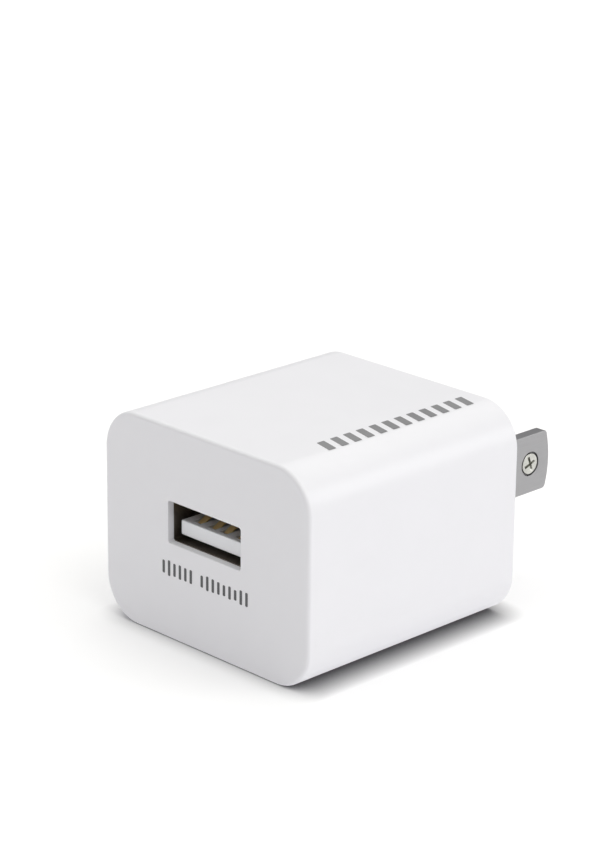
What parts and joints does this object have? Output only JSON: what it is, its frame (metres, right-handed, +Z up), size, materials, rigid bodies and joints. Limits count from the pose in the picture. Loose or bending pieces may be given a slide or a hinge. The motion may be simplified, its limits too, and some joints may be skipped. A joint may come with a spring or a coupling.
{
  "type": "usb wall charger",
  "caption": "Compact plug-in wall charger: a rounded white case with a USB-A socket in the front face and flat outlet blades at the rear.",
  "frame": {"origin": "centre of the rear face that meets the wall outlet, midway between the two blades", "axes": "+Y along the blades, into the outlet; +Z up with the charger lying on its underside; +X to the right seen from the socket end"},
  "size_m": [0.035, 0.0531, 0.027],
  "materials": {
    "white_case": "satin, very fine moulded grain",
    "nickel_blade": "satin nickel plate",
    "nickel_screw": "bright nickel plate",
    "tinned_brass": "satin, soldered",
    "shield_steel": "satin rolled sheet",
    "socket_plastic": "matte",
    "gold_contact": "gold plate",
    "green_board": "glass-fibre board with green solder mask",
    "ferrite": "matte grey ferrite",
    "black_moulding": "matte black",
    "copper_wire": "enamelled copper",
    "yellow_tape": "polyester tape",
    "solder": "bright tin",
    "can_aluminium": "satin drawn can",
    "can_sleeve": "shrink sleeve",
    "rubber_bung": "matte",
    "opto_white": "matte",
    "blue_resin": "dipped resin",
    "green_resin": "lacquered body",
    "sleeve_black": "shrink tube",
    "chip_ceramic": "fired ceramic",
    "fish_paper": "insulating paper"
  },
  "bodies": {
    "charger": {"main_shell": "white_case", "rear_cover": "white_case", "blade_right": "nickel_blade", "blade_left": "nickel_blade", "blade_screw_right": "nickel_screw", "blade_screw_left": "nickel_screw", "blade_terminal_right": "tinned_brass", "blade_terminal_left": "tinned_brass", "usb_shield": "shield_steel", "usb_tongue": "socket_plastic", "usb_base": "socket_plastic", "contact_tail_1": "gold_contact", "contact_tail_2": "gold_contact", "contact_tail_3": "gold_contact", "contact_tail_4": "gold_contact", "circuit_board": "green_board", "transformer_core_upper": "ferrite", "transformer_core_lower": "ferrite", "transformer_bobbin": "black_moulding", "transformer_coil": "copper_wire", "transformer_tape": "yellow_tape", "transformer_pins": "solder", "input_capacitor_1_can": "can_aluminium", "input_capacitor_2_can": "can_aluminium", "output_capacitor_1_can": "can_aluminium", "output_capacitor_2_can": "can_aluminium", "input_capacitor_1_sleeve": "can_sleeve", "input_capacitor_2_sleeve": "can_sleeve", "output_capacitor_1_sleeve": "can_sleeve", "output_capacitor_2_sleeve": "can_sleeve", "capacitor_bungs": "rubber_bung", "capacitor_leads": "solder", "bridge_rectifier": "black_moulding", "controller_chip": "black_moulding", "optocoupler": "opto_white", "schottky_diode": "black_moulding", "safety_capacitor": "blue_resin", "fuse_resistor": "green_resin", "fuse_sleeve": "sleeve_black", "choke_core": "ferrite", "choke_winding": "copper_wire", "chip_resistors": "black_moulding", "chip_capacitors": "chip_ceramic", "chip_terminals": "solder", "solder_joints": "solder", "insulation_sheet": "fish_paper"},
    "contact_1": {"contact_beam_1": "gold_contact"},
    "contact_2": {"contact_beam_2": "gold_contact"},
    "contact_3": {"contact_beam_3": "gold_contact"},
    "contact_4": {"contact_beam_4": "gold_contact"},
    "spring_1": {"shield_spring_1": "shield_steel"},
    "spring_2": {"shield_spring_2": "shield_steel"},
    "spring_3": {"shield_spring_3": "shield_steel"},
    "spring_4": {"shield_spring_4": "shield_steel"}
  },
  "joints": [
    {"name": "contact_1_flex", "type": "hinge", "parent": "charger", "child": "contact_1", "pos_m": [-0.0035, -0.0254, 0.00095], "axis": [1, 0, 0], "range_deg": [0, 3.5], "stiffness_Nm_per_rad": 0.05},
    {"name": "contact_2_flex", "type": "hinge", "parent": "charger", "child": "contact_2", "pos_m": [-0.001, -0.0254, 0.00095], "axis": [1, 0, 0], "range_deg": [0, 3.5], "stiffness_Nm_per_rad": 0.05},
    {"name": "contact_3_flex", "type": "hinge", "parent": "charger", "child": "contact_3", "pos_m": [0.001, -0.0254, 0.00095], "axis": [1, 0, 0], "range_deg": [0, 3.5], "stiffness_Nm_per_rad": 0.05},
    {"name": "contact_4_flex", "type": "hinge", "parent": "charger", "child": "contact_4", "pos_m": [0.0035, -0.0254, 0.00095], "axis": [1, 0, 0], "range_deg": [0, 3.5], "stiffness_Nm_per_rad": 0.05},
    {"name": "shield_spring_1_flex", "type": "hinge", "parent": "charger", "child": "spring_1", "pos_m": [-0.0029, -0.02635, 0.00421], "axis": [-1, 0, 0], "range_deg": [0, 5], "stiffness_Nm_per_rad": 0.06},
    {"name": "shield_spring_2_flex", "type": "hinge", "parent": "charger", "child": "spring_2", "pos_m": [0.0029, -0.02635, 0.00421], "axis": [-1, 0, 0], "range_deg": [0, 5], "stiffness_Nm_per_rad": 0.06},
    {"name": "shield_spring_3_flex", "type": "hinge", "parent": "charger", "child": "spring_3", "pos_m": [-0.0029, -0.02635, -0.00121], "axis": [1, 0, 0], "range_deg": [0, 5], "stiffness_Nm_per_rad": 0.06},
    {"name": "shield_spring_4_flex", "type": "hinge", "parent": "charger", "child": "spring_4", "pos_m": [0.0029, -0.02635, -0.00121], "axis": [1, 0, 0], "range_deg": [0, 5], "stiffness_Nm_per_rad": 0.06}
  ]
}
